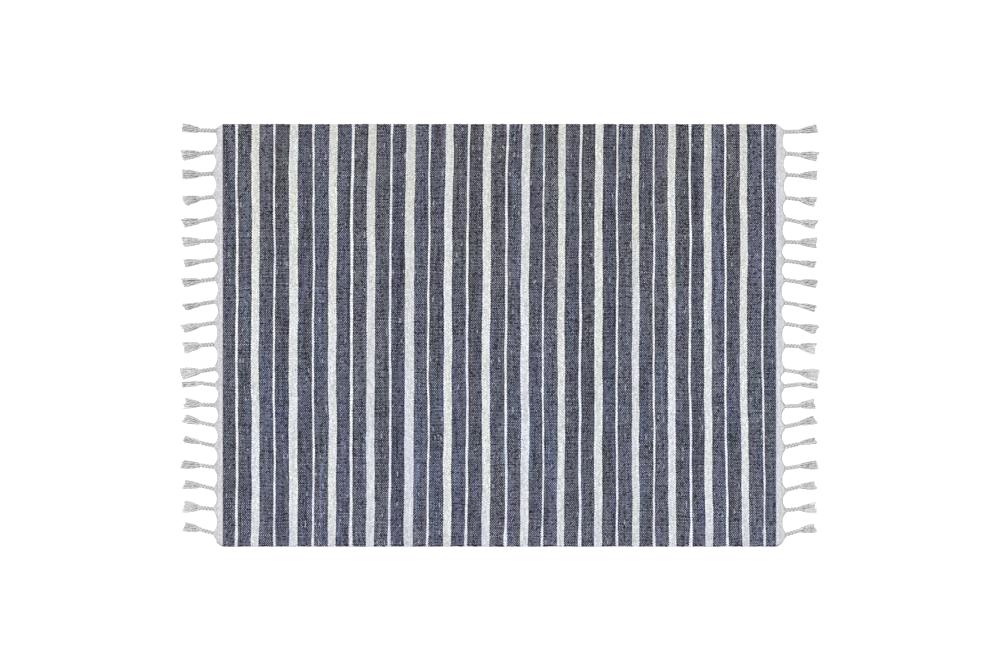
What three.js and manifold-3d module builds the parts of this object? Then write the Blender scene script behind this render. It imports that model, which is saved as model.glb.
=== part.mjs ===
// A flat-woven cotton rug with narrow cross stripes and a plaited fringe, lying flat on the floor.
// Millimetres, +Z up. The origin is on the floor under the middle of the rug. +X runs along its length,
// from one fringe to the other, and +Y runs across it, from one selvedge to the other.
//
// The weft runs along Y, so every stripe is a band of picks from selvedge to selvedge. The warp runs along
// X: past the plain band at each end its threads are gathered into plaits, whose ends are cut loose.
import * as THREE from "three";
import { mergeVertices } from "three/addons/utils/BufferGeometryUtils.js";
import Module from "manifold-3d";

const wasm = await Module();
wasm.setup();
const { lerp, smoothstep } = THREE.MathUtils;

const WIDTH = 1200; // between the selvedges
const THICKNESS = 5; // of the weave
const EDGE_ROUND = 1.2; // of the weave's top and bottom edges
const SELVEDGE_DIP = 0.8; // how far the edge draws in where one stripe meets the next
const SEAM_GAP = 0.3; // between the striped cloth and the plain band at each end

// The stripes from the left-hand end: two dark stripes with a narrow white one between them, then a wide
// white one. The last dark stripe lies against the right-hand band.
const STRIPE_COLUMNS = ["dark", "narrow", "secondDark", "wide"];
const STRIPES = [
  [36, 7, 38, 22],
  [39, 7, 39, 24],
  [41, 8, 39, 22],
  [39, 8, 39, 23],
  [40, 8, 38, 25],
  [38, 7, 40, 23],
  [40, 7, 39, 23],
  [41, 8, 38, 23],
  [37, 7, 37, 22],
  [39, 7, 37, 23],
  [37, 8, 39, 20],
  [38, 7, 37, 21],
  [38, 7, 36, 22],
  [35, 8, 36, 21],
  [40, 8, 35, 0],
].map((row) => named(STRIPE_COLUMNS, row));
const STRIPE_WIDTHS = STRIPES.flatMap((row) => Object.values(row)).filter((width) => width > 0);
const STRIPED_LENGTH = STRIPE_WIDTHS.reduce((sum, width) => sum + width, 0);

// The plain band, outwards from the striped cloth: deep where a tassel pulls the warp together, and shallow
// between two tassels.
const BAND_AT_TASSEL = 24;
const BAND_BETWEEN = 16;
const SCALLOP_STEPS = 6;
const SCALLOP_POWER = 2; // of the scallop's curve
// The band's two outer corners, as depth and distance from the selvedge, from the last tassel outwards.
const FAR_CORNER = [[13, 8], [2, 0]];
const NEAR_CORNER = [[18, 20], [11, 6], [2, 0]];

// The tassels of an end, from the far corner to the near one: where each leaves the band, how far its plait
// leans along the edge, how far its loose end leans on from there, and how wide that end fans out.
const TASSEL_COLUMNS = ["root", "plaitLean", "endLean", "fan"];
const TASSELS = [
  [582, 1, 6, 23],
  [522, -7, -2, 28],
  [461, -3, 0, 27],
  [396, -7, -8, 27],
  [336, -10, -10, 25],
  [270, -3, -2, 30],
  [217, -6, -5, 22],
  [162, -7, -5, 23],
  [98, -8, -10, 19],
  [38, -9, -11, 27],
  [-25, -1, -10, 33],
  [-94, -8, -6, 36],
  [-141, 6, -5, 16],
  [-198, 2, 5, 29],
  [-257, 9, 10, 26],
  [-315, 10, 9, 19],
  [-375, 7, 2, 23],
  [-438, 12, 3, 25],
  [-494, 4, 2, 35],
  [-565, 14, 7, 27],
].map((row) => named(TASSEL_COLUMNS, row));
const END_SHIFT = { left: 0, right: -3 }; // the right-hand tassels sit a little nearer the near selvedge

// The plait, outwards from the striped cloth. It starts inside the band, where the warp draws together, and
// its three strands cross at each step.
const PLAIT_START = 12;
const PLAIT_END = 65;
const PLAIT_STEPS = 9;
const PLAIT_HALF_WIDTH = 5.2;
const PLAIT_FOOT = 1.6; // its underside's width, as a share of its top's
const PLAIT_HEIGHT = 8;
const PLAIT_END_HEIGHT = 5.5;
const STRAND_BULGE = 0.16; // how far a strand stands out at its turn, as a share of the half width
const STRAND_DROP = 0.8; // the height of the strand that passes under, as a share of the plait's
const GATHER_HALF_WIDTH = 9; // where the warp starts to draw together
const GATHER_HEIGHT = 4;
const GATHERED_AT = 0.3; // of the plait's length
const FLATTENS_AT = 0.85;

// The loose end: locks that lie side by side on the floor, apart but for their roots in the plait.
const LOCKS = 6;
const LOCK_STEPS = 2;
const LOCK_ROOT = 61;
const LOCK_LENGTH = 54;
const LOCK_ROOT_SPREAD = 4; // half the width that the locks take up at their roots
const LOCK_FILL = 0.8; // a lock's share of the room that it has
const LOCK_HEIGHT = { root: 4, tip: 3 };
const LOCK_BELLY = 1.2; // how much higher it is half way
const LOCK_ROOT_LIFT = 0.3; // how far its root in the plait lies above the floor
const CUT_ROUND = 0.07; // how much shorter the outer locks are, as a share of the length

// An object with these columns from a row of a table.
function named(columns, row) {
  return Object.fromEntries(columns.map((column, k) => [column, row[k]]));
}

// A three.js geometry as a solid that can be joined to others, whichever way round its faces are.
function solidOf(geometry) {
  const bare = new THREE.BufferGeometry();
  bare.setAttribute("position", geometry.getAttribute("position"));
  bare.setIndex(geometry.index);
  const merged = mergeVertices(bare, 1e-3);
  const vertProperties = merged.attributes.position.array;
  const triVerts = new Uint32Array(merged.index.array);
  const solid = new wasm.Manifold(new wasm.Mesh({ numProp: 3, vertProperties, triVerts }));
  if (solid.volume() > 0) return solid;
  triVerts.reverse();
  return new wasm.Manifold(new wasm.Mesh({ numProp: 3, vertProperties, triVerts }));
}

// A solid back as a three.js geometry.
function geometryOf(solid) {
  const mesh = solid.getMesh();
  const geometry = new THREE.BufferGeometry();
  geometry.setAttribute("position", new THREE.BufferAttribute(mesh.vertProperties, mesh.numProp));
  geometry.setIndex(new THREE.BufferAttribute(mesh.triVerts, 1));
  geometry.computeVertexNormals();
  return geometry;
}

// A flat piece of the weave with this outline, its underside on the floor.
function slab(outline, bevel) {
  const rounding = bevel
    ? { bevelThickness: bevel, bevelSize: bevel, bevelOffset: -bevel, bevelSegments: 1 }
    : { bevelEnabled: false };
  return new THREE.ExtrudeGeometry(new THREE.Shape(outline), {
    depth: THICKNESS - 2 * bevel,
    ...rounding,
  }).translate(0, 0, bevel);
}

// A closed lock of yarn: a prism of a few sides, flat underneath, whose points shape() puts in place from
// how far along they are (0 to 1), how far across (-1 to 1) and how high (0 to 1).
function yarnLock(sides, steps, shape) {
  const turn = sides % 2 ? 0 : Math.PI / sides;
  const geometry = new THREE.CylinderGeometry(1, 1, 1, sides, steps, false, turn);
  geometry.computeBoundingBox();
  const { min, max } = geometry.boundingBox;
  const points = geometry.getAttribute("position");
  for (let k = 0; k < points.count; k += 1) {
    const along = 0.5 - points.getY(k);
    const across = points.getX(k) / max.x;
    const up = (points.getZ(k) - min.z) / (max.z - min.z);
    const at = shape(along, across, up);
    points.setXYZ(k, at.x, at.y, at.z);
  }
  return solidOf(geometry);
}

// The selvedge, one point where two stripes meet and one in the middle of each stripe.
function selvedge(side) {
  const points = [];
  let x = -STRIPED_LENGTH / 2;
  for (const width of STRIPE_WIDTHS) {
    points.push(new THREE.Vector2(x, side * (WIDTH / 2 - SELVEDGE_DIP)));
    points.push(new THREE.Vector2(x + width / 2, (side * WIDTH) / 2));
    x += width;
  }
  points.push(new THREE.Vector2(x, side * (WIDTH / 2 - SELVEDGE_DIP)));
  return points;
}

function stripedCloth() {
  return slab([...selvedge(-1), ...selvedge(1).reverse()], EDGE_ROUND);
}

// The plain band's outline, with a scallop between each two tassels. out turns a distance from the striped
// cloth and a place along the edge into a point.
function bandOutline(out, roots) {
  const points = [out(SEAM_GAP, -WIDTH / 2), out(SEAM_GAP, WIDTH / 2)];
  const corner = ([depth, fromSelvedge], side) => out(depth, side * (WIDTH / 2 - fromSelvedge));
  points.push(...[...FAR_CORNER].reverse().map((row) => corner(row, 1)));
  roots.slice(0, -1).forEach((root, k) => {
    for (let step = 0; step < SCALLOP_STEPS; step += 1) {
      const across = step / SCALLOP_STEPS;
      const pulled = Math.abs(2 * across - 1) ** SCALLOP_POWER;
      points.push(out(lerp(BAND_BETWEEN, BAND_AT_TASSEL, pulled), lerp(root, roots[k + 1], across)));
    }
  });
  points.push(out(BAND_AT_TASSEL, roots.at(-1)));
  points.push(...NEAR_CORNER.map((row) => corner(row, -1)));
  return points;
}

// A flat plait of three strands. At each crossing a strand turns at one edge and comes over the top.
function plait(out, { root, plaitLean }) {
  return yarnLock(6, PLAIT_STEPS, (along, across, up) => {
    const turning = Math.round(along * PLAIT_STEPS) % 2 ? 1 : -1;
    const outward = across * turning > 0 ? 1 : -1;
    const gathered = smoothstep(along, 0, GATHERED_AT);
    const halfWidth = lerp(GATHER_HALF_WIDTH, PLAIT_HALF_WIDTH, gathered) * (1 + STRAND_BULGE * outward);
    const spread = up < 0.25 ? PLAIT_FOOT : 1;
    const height = lerp(
      lerp(GATHER_HEIGHT, PLAIT_HEIGHT, gathered),
      PLAIT_END_HEIGHT,
      smoothstep(along, FLATTENS_AT, 1),
    );
    const under = up > 0.75 && outward < 0 ? STRAND_DROP : 1;
    const edge = root + plaitLean * along + across * spread * halfWidth;
    const at = out(lerp(PLAIT_START, PLAIT_END, along), edge);
    return new THREE.Vector3(at.x, at.y, up * height * under);
  });
}

// One lock of a tassel's loose end. side is its place in the fan, from -1 to 1.
function looseLock(out, { root, plaitLean, endLean, fan }, side) {
  const slant = (plaitLean + endLean) / (LOCK_ROOT + LOCK_LENGTH - BAND_AT_TASSEL);
  const length = LOCK_LENGTH * (1 - CUT_ROUND * side ** 2) - slant * side * fan;
  return yarnLock(3, LOCK_STEPS, (along, across, up) => {
    const spread = lerp(LOCK_ROOT_SPREAD, fan / 2, Math.sin((along * Math.PI) / 2));
    const room = spread / LOCKS;
    const middle = root + plaitLean + endLean * along + side * (spread - room);
    const height = lerp(LOCK_HEIGHT.root, LOCK_HEIGHT.tip, along) + LOCK_BELLY * Math.sin(along * Math.PI);
    const lift = LOCK_ROOT_LIFT * Math.max(0, 1 - LOCK_STEPS * along);
    const at = out(LOCK_ROOT + length * along, middle + across * room * LOCK_FILL);
    return new THREE.Vector3(at.x, at.y, lift + up * (height - lift));
  });
}

// One end of the rug, the left one at side -1: the plain band with every tassel rooted in it.
function fringedEnd(side, shift) {
  const out = (depth, along) => new THREE.Vector2(side * (STRIPED_LENGTH / 2 + depth), along);
  const tassels = TASSELS.map((tassel) => ({ ...tassel, root: tassel.root + shift }));
  const roots = tassels.map((tassel) => tassel.root);
  let joined = solidOf(slab(bandOutline(out, roots), 0));
  for (const tassel of tassels) {
    joined = joined.add(plait(out, tassel));
    for (let lock = 0; lock < LOCKS; lock += 1) {
      const place = (2 * lock) / (LOCKS - 1) - 1;
      joined = joined.add(looseLock(out, tassel, place));
    }
  }
  return geometryOf(joined);
}

const wovenStripes = new THREE.MeshStandardMaterial({ color: 0x5e616f, roughness: 0.95, metalness: 0 });
const undyedCotton = new THREE.MeshStandardMaterial({ color: 0xd3d3d2, roughness: 0.95, metalness: 0 });

function mesh(name, geometry, material) {
  const made = new THREE.Mesh(geometry, material);
  made.name = name;
  return made;
}

const rug = new THREE.Group();
rug.add(mesh("striped_cloth", stripedCloth(), wovenStripes));
rug.add(mesh("left_fringe", fringedEnd(-1, END_SHIFT.left), undyedCotton));
rug.add(mesh("right_fringe", fringedEnd(1, END_SHIFT.right), undyedCotton));

export default rug;
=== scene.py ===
"""A flat-woven cotton rug with narrow cross stripes and a plaited fringe, seen from straight above.

X runs along the rug, from one fringe to the other, Y across it, from selvedge to selvedge, and Z up. The weft
runs along Y, so a pick is one line of weft and a stripe is a band of picks. The warp runs along X, and past
each end it is gathered into plaits with loose ends. Sizes are in millimetres until a mesh is made.
"""

import math

import bpy
import numpy as np
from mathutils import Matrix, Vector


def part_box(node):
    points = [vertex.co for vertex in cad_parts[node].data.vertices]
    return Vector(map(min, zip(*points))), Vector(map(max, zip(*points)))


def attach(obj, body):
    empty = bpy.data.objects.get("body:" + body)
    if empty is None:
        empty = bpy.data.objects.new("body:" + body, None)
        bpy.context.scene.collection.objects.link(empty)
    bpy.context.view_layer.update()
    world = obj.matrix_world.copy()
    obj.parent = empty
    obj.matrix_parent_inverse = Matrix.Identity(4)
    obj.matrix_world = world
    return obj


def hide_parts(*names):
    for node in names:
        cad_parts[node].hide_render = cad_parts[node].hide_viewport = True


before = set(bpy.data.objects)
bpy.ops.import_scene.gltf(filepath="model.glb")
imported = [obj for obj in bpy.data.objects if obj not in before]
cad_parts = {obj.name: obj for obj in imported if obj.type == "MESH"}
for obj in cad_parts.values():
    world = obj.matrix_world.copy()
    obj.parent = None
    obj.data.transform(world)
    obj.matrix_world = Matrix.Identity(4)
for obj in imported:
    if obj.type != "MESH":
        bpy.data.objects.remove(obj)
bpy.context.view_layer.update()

MM = 0.001

cloth_low, cloth_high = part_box("striped_cloth")
HALF_LENGTH = cloth_high.x / MM
HALF_WIDTH = cloth_high.y / MM
THICKNESS = cloth_high.z / MM

# The weave. A pick is a line of weft, and each warp end crosses it over or under by turns.
PICK = 2.85
WARP_ENDS = 338
WARP_PITCH = 2 * HALF_WIDTH / WARP_ENDS
GRAIN_RISE = 0.75  # of the weft where it lies on top, over the warp beside it
GRAIN_UNEVEN = 0.14
JITTER = 0.22  # how far a crossing may be from its place
COCKLE = 0.35  # slow waves of the whole cloth
UNDER_ROWS = 7  # rows of points between the selvedges, on the underside
SELVEDGE_LOOP = 0.45  # how unevenly the weft's turns stand out
SHOULDER_IN = 0.5  # how far in from a selvedge its rounding starts
SHOULDER_WARP = 0.15  # and the same in warp ends
# heights as shares of the thickness, along the selvedges and the band's edge
EDGE_HEIGHT = 0.5
SHOULDER_HEIGHT = 0.82
BAND_SHOULDER_HEIGHT = 0.85
UNDER_EDGE_HEIGHT = 0.14

# The stripes from the left, and how far their ends run to the right of their middle at the far and at the
# near selvedge.
KINDS = ("dark", "narrow", "second_dark", "wide")
STRIPE_COLUMNS = (*KINDS, "far_shift", "near_shift")
STRIPES = [dict(zip(STRIPE_COLUMNS, row)) for row in (
    (35.5, 8.2, 37.5, 21.6, 0, -2),
    (39, 7, 38.6, 24.7, 2, 1),
    (41, 7, 39.2, 23.2, 2, -1),
    (38, 9, 38.3, 23.4, 6, -1.5),
    (40, 7.6, 37.5, 26.3, 5, -2),
    (37.6, 6.6, 40.4, 22.8, 6.5, -2.5),
    (39.6, 7.8, 38.9, 22.4, 5.5, -2.5),
    (41, 8, 38, 23.4, 5.5, -0.5),
    (37.3, 6.3, 38.1, 20.4, 3, -2.5),
    (38.8, 8.6, 36.4, 22.8, 3.5, -1),
    (37.6, 7, 39.5, 20.2, 2.5, 0),
    (38, 7, 36.9, 21.2, 0, 2),
    (37.9, 7.2, 36.1, 21.7, 0.5, 4),
    (35.6, 7, 37.9, 20.6, -1.5, 7),
    (40.7, 7, 34.1, 0, 0, 8),
)]
SHIFT_POWER = 1.8  # the higher, the nearer to the selvedges the stripes run aside
INTERLOCK = 0.25  # how far dark and white weft reach into each other at a change of colour, in picks
WHITE_TRIM = {"narrow": 0.8, "wide": 0.15}  # off each side, as its light spreads over its edges in the photo
UNEVEN_PICKS = 0.13  # of a pick's width
UNEVEN_WARP = 0.15
# how much wider a narrow stripe's ends are, and from where to where they spread, in from the selvedge
NARROW_SPREAD = {"far": (2.3, 5, 55), "near": (2.5, 25, 65)}
NARROW_TAPER = (0.9, 250)  # how much narrower it is towards the far selvedge, and over what length
WIDE_CLOSE = (0.9, 14)  # how much narrower a wide one's ends are, and over what length
# how far white stripes wander, together, each alone, and in width: the height and length of their waves
WANDER_TOGETHER = ((0.45, 520), (0.3, 230))
WANDER = ((0.75, 640), (0.55, 270), (0.35, 120))
WIDTH_WAVES = ((0.5, 180), (0.5, 60))

# Colours of the yarns.
CHARCOAL = (0.0250, 0.0276, 0.0382)
SLATE = (0.0259, 0.0305, 0.0533)
FADED = (0.0445, 0.0570, 0.1024)
NAVY = (0.004, 0.0045, 0.016)
STRAY = (0.30, 0.31, 0.355)
WARP_BY_CHARCOAL = (0.352, 0.364, 0.420)  # the pale warp, tinged by the weft around it and drawn darker with painted shade where it lies low between the grains
WARP_BY_SLATE = (0.333, 0.354, 0.455)
# the same undyed warp among white weft and in the band, drawn darker with painted shade where it lies low
WARP_BY_WHITE = (0.30, 0.31, 0.33)
WARP_IN_BAND = (0.28, 0.28, 0.30)
PALE_END = (0.401, 0.418, 0.498)
MAUVE_CAST = (1.02, 0.955, 1.01)
TEAL_CAST = (0.98, 1.045, 1.0)
NEAR_CAST = (0.989, 0.995, 1.016)  # of the whole cloth beside its near selvedge
FAR_CAST = (1.025, 1.013, 0.959)
DARK_NEAR_CAST = (1.05, 1.031, 1.088)  # of the dark weft alone
DARK_MIDDLE_CAST = (0.980, 1.0, 1.068)
DARK_FAR_CAST = (1.022, 0.992, 1.015)
WHITE_WARM = (0.577, 0.588, 0.583)
WHITE_LILAC = (0.559, 0.576, 0.625)
WHITE_GREENISH = (0.559, 0.605, 0.577)
WHITE_CLEAN = (0.660, 0.679, 0.727)
BAND_WARM = (0.560, 0.565, 0.561)
BAND_LILAC = (0.577, 0.580, 0.633)
BAND_CORD = (0.24, 0.24, 0.235)
YARN_DULL = (0.675, 0.675, 0.675)
YARN_BRIGHT = (0.815, 0.815, 0.82)
YARN_GREY = (0.50, 0.50, 0.50)
YARN_FURROW_SHADE = (0.24, 0.24, 0.25)
YARN_PAINTED_SHADE = (0.15, 0.15, 0.155)

DARK_MIDDLE = 105  # the warp end at which the dark weft has its middle cast
NEAR_REACH = 45  # how many ends the near selvedge's own tone reaches in
CHANGE_REACH = (0.4, 1.7)  # the picks over which the tone beside a change of colour levels out

# The plain band, as depth outwards from the striped cloth.
SEAM = 0.3
BAND_TOP = THICKNESS - 0.2
TONGUE = 8  # how far the band reaches at a tassel, past the scallops beside it
STRAIGHT_ROWS = 6
GATHER_ROWS = 6
NECK_HALF_WIDTH = 8.0
NECK_RISE = 1.6
OTHER_END = 1000  # added to the right band's warp ends, so that the two bands' tones differ
RIM = 9  # how wide the cord along its cut edge shows
# how far the band's far and near ends are drawn in, from which share of the way to its scallops, and how far
# in from there the weave is crowded
DRAWN_IN = {1: (11, 0.12, 12), -1: (11, 0.18, 24)}
CORNER_DEPTH = 7  # how deep it runs at the far corner

# The tassels of an end, from the far corner to the near one. A scallop is the band's depth between a tassel
# and the next, or the near corner.
TASSEL_COLUMNS = ("root", "plait_lean", "end_lean", "fan", "extra", "scallop")
TASSELS = [dict(zip(TASSEL_COLUMNS, row)) for row in (
    (582, 1, 8, 23, -1.5, 17.5),
    (522, -5, -5.5, 28, 1, 20.5),
    (461, -3.5, 0, 27, 0, 20.5),
    (396, -6, -10, 27, -4.5, 18),
    (336, -10, -8.5, 25, -3, 17.3),
    (270, -2, -2, 30, -1.5, 16.2),
    (217, -6.5, -6, 22, -5.5, 15),
    (162, -6.5, -6, 23, -1, 14.5),
    (98, -8, -11.5, 19, -6, 14.3),
    (38, -7.5, -12.5, 27, -1.5, 16.5),
    (-25, -2.5, -8.5, 33, -4.5, 15.5),
    (-94, -7, -8.5, 34, 4, 12.5),
    (-141, 6, -5, 16, 0, 14.3),
    (-198, 2, 5.5, 29, -7.5, 14.3),
    (-257, 9.5, 13, 26, -5.5, 15.5),
    (-315, 10, 11, 19, -4.5, 16),
    (-375, 6.5, 3, 23, 0.5, 16.6),
    (-438, 11.5, 4, 25, -4.5, 17.8),
    (-494, 4.5, 3, 35, -3.5, 17),
    (-565, 13.5, 8, 27, -5.5, 18.5),
)]
END_SHIFT = {-1: 0, 1: -3}  # of all the roots at the left and at the right end
STRAND_YARNS = (6, 5, 6)
YARNS = sum(STRAND_YARNS)
YARN_SIDES = 5
YARN_STEP = 2.035  # between the rings of points along it
YARN_INSIDE = 4.5  # how far it starts inside the band's tongue
YARN_PLAITED = 0.98  # its radius in the plait
YARN_LOOSE = 1.3  # and in the loose end, where it opens up
PLAIT_FROM = 18  # the depth at which its plait starts to lean, and where it has all its lean
PLAIT_TO = 65
BRAID_FROM = 29  # the depth from which the strands' turns are counted
BRAID_PERIOD = 28
BRAID_SWING = 3.1
BRAID_RISE = 1.9
PLAIT_MIDDLE = 3.9  # its height
STRAND_ACROSS = 1.55
STRAND_FLAT = 0.78
LOOSE_FROM = 61  # the depth at which its yarns part
LOOSE_LENGTH = 54
LOOSE_ROOT_SPREAD = 4.5
CUT_FLARE = 0.03  # how much longer its outer yarns are
LONGEST_LOOSE = 62.5  # no yarn is left longer when the fringe is cut
CRIMP = 0.7  # of the loose yarn
CRIMP_LENGTHS = (7, 10)
SHADE_CELL = 1.3
PAINTED_SHADE_DEPTHS = (0.5, 2.2)  # how far under the yarn around it a point starts to get painted shade, and gets all of it
PAINTED_SHADE_IN_PLAIT = 0.8  # of the painted shade, where the yarn is drawn tight


def add_object(name, data):
    """Adds an object to the scene."""
    made = bpy.data.objects.new(name, data)
    bpy.context.scene.collection.objects.link(made)
    return made


def new_object(name, vertices, faces, material, smooth=True):
    """A mesh object from vertices in millimetres and face arrays, one array for each number of corners."""
    mesh = bpy.data.meshes.new(name)
    loops = np.concatenate([f.ravel() for f in faces]).astype(np.int32)
    sizes = np.concatenate([np.full(len(f), f.shape[1]) for f in faces]).astype(np.int32)
    mesh.vertices.add(len(vertices))
    mesh.vertices.foreach_set("co", (np.asarray(vertices) * MM).astype(np.float32).ravel())
    mesh.loops.add(len(loops))
    mesh.loops.foreach_set("vertex_index", loops)
    mesh.polygons.add(len(sizes))
    mesh.polygons.foreach_set("loop_start", np.concatenate([[0], np.cumsum(sizes)[:-1]]).astype(np.int32))
    mesh.polygons.foreach_set("use_smooth", np.full(len(sizes), smooth))
    mesh.update(calc_edges=True)
    mesh.validate()
    mesh.materials.append(material)
    return add_object(name, mesh)


def set_attribute(piece, name, domain, values):
    """Stores one vector for each point or face."""
    made = piece.data.attributes.new(name, "FLOAT_VECTOR", domain)
    made.data.foreach_set("vector", np.asarray(values, np.float32).ravel())


def lerp(a, b, t):
    """From a to b as t goes from 0 to 1."""
    return a + (b - a) * t


def smoothstep(t, low, high):
    """From 0 to 1 as t goes from low to high, with no sharp turn at either."""
    t = np.clip((t - low) / (high - low), 0, 1)
    return t * t * (3 - 2 * t)


# Shader nodes.
class Output:
    """The output of a shader node. Numbers that come out of nodes add and multiply like plain ones."""

    def __init__(self, graph, socket):
        self.graph, self.socket = graph, socket

    def __add__(self, other):
        return self.graph.math("ADD", self, other)

    def __sub__(self, other):
        return self.graph.math("SUBTRACT", self, other)

    def __rsub__(self, other):
        return self.graph.math("SUBTRACT", other, self)

    def __mul__(self, other):
        return self.graph.math("MULTIPLY", self, other)

    def __truediv__(self, other):
        return self.graph.math("DIVIDE", self, other)


class Graph:
    """Builds a material: each call adds a node, fills its inputs and returns its output."""

    def __init__(self, name):
        self.material = bpy.data.materials.new(name)
        self.material.use_nodes = True
        self.tree = self.material.node_tree

    def fill(self, node, inputs):
        """Links or sets a node's inputs, which are given by place or name."""
        for key, value in inputs.items():
            if isinstance(value, Output):
                self.tree.links.new(value.socket, node.inputs[key])
            else:
                node.inputs[key].default_value = value

    def node(self, kind, inputs, output=0, **settings):
        node = self.tree.nodes.new("ShaderNode" + kind)
        for name, value in settings.items():
            setattr(node, name, value)
        self.fill(node, inputs)
        return Output(self, node.outputs[output])

    def finish(self, inputs):
        """Fills the surface's own inputs and returns the material."""
        self.fill(self.tree.nodes["Principled BSDF"], inputs)
        return self.material

    def attribute(self, name):
        """The three numbers of a vector that is stored in the mesh."""
        vector = self.node("Attribute", {}, "Vector", attribute_name=name)
        parts = self.node("SeparateXYZ", {0: vector})
        return [Output(self, socket) for socket in parts.socket.node.outputs]

    def join(self, *parts):
        """A vector from its parts."""
        return self.node("CombineXYZ", dict(enumerate(parts)))

    def math(self, operation, *numbers):
        return self.node("Math", dict(enumerate(numbers)), operation=operation)

    def ramp(self, value, low, high, to_low=0.0, to_high=1.0, smooth=True):
        """Goes from to_low to to_high as the value goes from low to high, and stays level beyond them."""
        given = dict(enumerate((value, low, high, to_low, to_high)))
        return self.node("MapRange", given, interpolation_type="SMOOTHSTEP" if smooth else "LINEAR")

    def spread(self, value, amount):
        """Turns a number from 0 to 1 into a factor that goes as far below 1 as above it."""
        return self.ramp(value, 0.0, 1.0, 1 - amount, 1 + amount, smooth=False)

    def mix(self, factor, a, b, blend="MIX"):
        """Goes from colour a to colour b as the factor goes from 0 to 1."""
        a, b = [(*colour, 1.0) if isinstance(colour, tuple) else colour for colour in (a, b)]
        return self.node("Mix", {0: factor, 6: a, 7: b}, 2, data_type="RGBA", blend_type=blend)

    def tint(self, colour, cast):
        """A colour times another colour."""
        return self.mix(1.0, colour, cast, "MULTIPLY")

    def scale(self, colour, factor):
        """A colour times a number."""
        return self.tint(colour, self.join(factor, factor, factor))

    def noise(self, vector, detail=0.0, roughness=0.5):
        """A number around 0.5 that changes smoothly with the vector."""
        given = {"Vector": vector, "Scale": 1.0, "Detail": detail, "Roughness": roughness}
        return self.node("TexNoise", given, "Fac")

    def chance(self, *parts):
        """A number from 0 to 1 that is the same wherever these parts are the same."""
        return self.node("TexWhiteNoise", {"Vector": self.join(*parts)}, "Value")

    def bump(self, height, distance, strength):
        return self.node("Bump", {"Strength": strength, "Distance": distance, "Height": height})


def cotton(g, colour, normal):
    """The finish that all the rug's yarn shares: matt, with the faint bloom of short fibres."""
    return g.finish({
        "Base Color": colour,
        "Normal": normal,
        "Roughness": 0.92,
        "Specular IOR Level": 0.15,
        "Sheen Weight": 0.08,
        "Sheen Roughness": 0.6,
    })


class Weave:
    """Where a point lies in the weave: which warp end and pick it shows, and how far from their middles.

    Its coordinates come from the mesh, as the pick and the warp end, counted from the left and near edges.
    Each pattern made from them has a seed, so that no two run alike."""

    def __init__(self, g):
        self.g = g
        self.pick, self.warp, self.rim = g.attribute("weave")
        self.end = g.math("FLOOR", self.warp)
        turn = g.math("MODULO", self.end, 2.0)
        place = (self.pick + turn) * 0.5 + 0.25
        grain = g.math("FLOOR", place)
        # the pick on top here, and the place in its grain from -1 to 1 along the warp and across it
        self.top_pick = grain * 2.0 - turn
        self.along = (place - grain) * 2.0 - 1.0
        self.across = (self.warp - self.end) * 2.0 - 1.0
        self.thread = g.math("FLOOR", self.pick)
        # each crossing's own number, and that of the pick beside it over which the warp shows as a dot
        self.stitch = g.chance(self.thread, self.end, 1.0)
        self.dot_number = g.chance(self.top_pick + g.math("SIGN", self.along), self.end, 3.0)

    def streaks(self, seed, along, detail, roughness):
        """A number for each line of weft that drifts along it, on its own."""
        own = self.g.chance(self.thread, seed, 0.0) * 400.0
        return self.g.noise(self.g.join(own, self.warp * along, seed), detail, roughness)

    def patches(self, seed, across, along):
        """A number that drifts along the weft and more quickly from pick to pick."""
        return self.g.noise(self.g.join(self.thread * across, self.warp * along, seed), 1.0)

    def drifts(self, seed):
        """Short and long drifts together."""
        return self.patches(seed, 0.08, 0.005) * 0.6 + self.patches(seed + 1, 0.20, 0.024) * 0.4

    def dot(self, half_along, half_across):
        """1 inside the warp's dot, which lies between two grains, and 0 outside it, with a soft edge."""
        x = (1.0 - self.g.math("ABSOLUTE", self.along)) / half_along
        y = self.across / half_across
        return self.g.ramp(self.g.math("SQRT", x * x + y * y), 1.25, 0.75)


def ply_bump(g, weave):
    """The two plies of the weft, as slanting ridges over each grain."""
    ridge = g.math("ABSOLUTE", g.math("SINE", (weave.across * 1.1 + weave.along * 1.9) * 3.0))
    fibres = g.noise(g.join(weave.pick * 6.0, weave.warp * 2.5, 0.0), 3.0)
    return g.bump(ridge * 0.5 + fibres, 0.25 * MM, 0.7)


class Stripes:
    """What a point of the striped cloth shows: dark or white weft, of which lot, and how near to an edge."""

    def __init__(self, g, weave):
        self.first, last, dark_stripe = g.attribute("stripe")
        clean_first, clean_last, _ = g.attribute("clean")
        # the two wefts interlock at a change of colour, so the one on top there may be of either side
        seen = weave.pick + (weave.top_pick + 0.5 - weave.pick) * INTERLOCK
        past_first = seen - self.first
        before_last = last - seen
        nearest = g.math("MINIMUM", past_first, before_last)
        self.dark = g.math("ABSOLUTE", dark_stripe - g.math("LESS_THAN", nearest, 0.0))
        self.from_change = g.math("ABSOLUTE", nearest)
        # narrow stripes are of cleaner white
        to_last = g.math("LESS_THAN", before_last, past_first)
        self.clean = clean_last * to_last + clean_first * (1.0 - to_last)
        self.lot = g.chance(self.first, 5.0, 5.0)
        # how far in from the two selvedges it lies, in warp ends, by an uneven line
        wander = g.noise(g.join(weave.pick * 0.6, 0.0, 14.0)) * 2.2 - 1.1
        self.near = weave.warp + wander
        self.far = WARP_ENDS - weave.warp + wander
        # stitches with a low lift count as sunk between their neighbours, and shade is painted into them
        self.lift = g.chance(weave.thread, weave.end, 8.0)


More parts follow.
